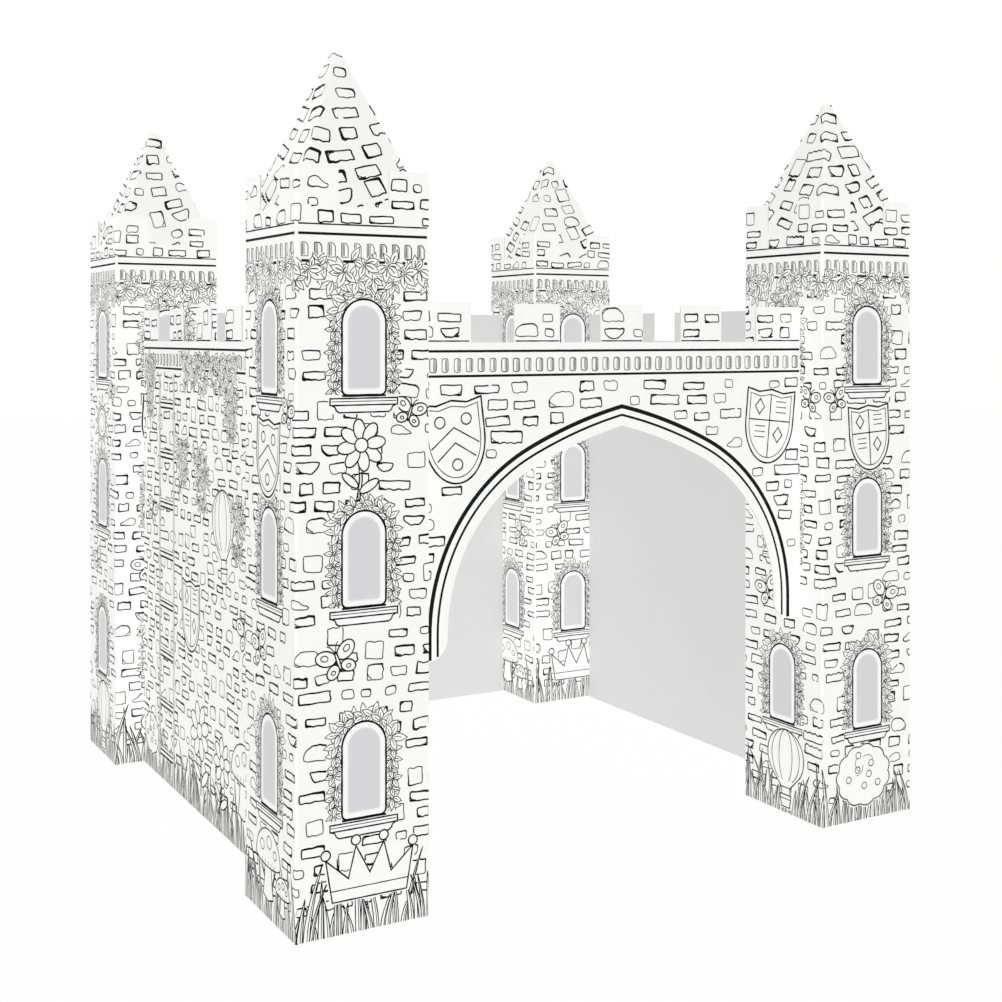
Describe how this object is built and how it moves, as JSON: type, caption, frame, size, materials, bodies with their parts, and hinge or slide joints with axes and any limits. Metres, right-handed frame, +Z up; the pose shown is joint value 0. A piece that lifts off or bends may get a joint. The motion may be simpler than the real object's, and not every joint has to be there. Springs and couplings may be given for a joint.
{
  "type": "cardboard castle",
  "caption": "Child's walk-in play castle of folded board: square towers with pointed roofs and battlemented walls around a courtyard, with an arched doorway.",
  "frame": {"origin": "on the ground at the middle of the square plan", "axes": "+Z up, the doorway faces -Y, +X to the right seen from the doorway side"},
  "size_m": [1.295, 1.295, 1.403],
  "materials": {
    "white_board": "matte coated, black line print"
  },
  "bodies": {
    "root": {"arch_wall": "white_board", "right_wall": "white_board", "back_wall": "white_board", "left_wall": "white_board", "tower_front_left": "white_board", "tower_front_right": "white_board", "tower_back_right": "white_board", "tower_back_left": "white_board", "roof_front_left": "white_board", "roof_front_right": "white_board", "roof_back_right": "white_board", "roof_back_left": "white_board"}
  },
  "joints": []
}
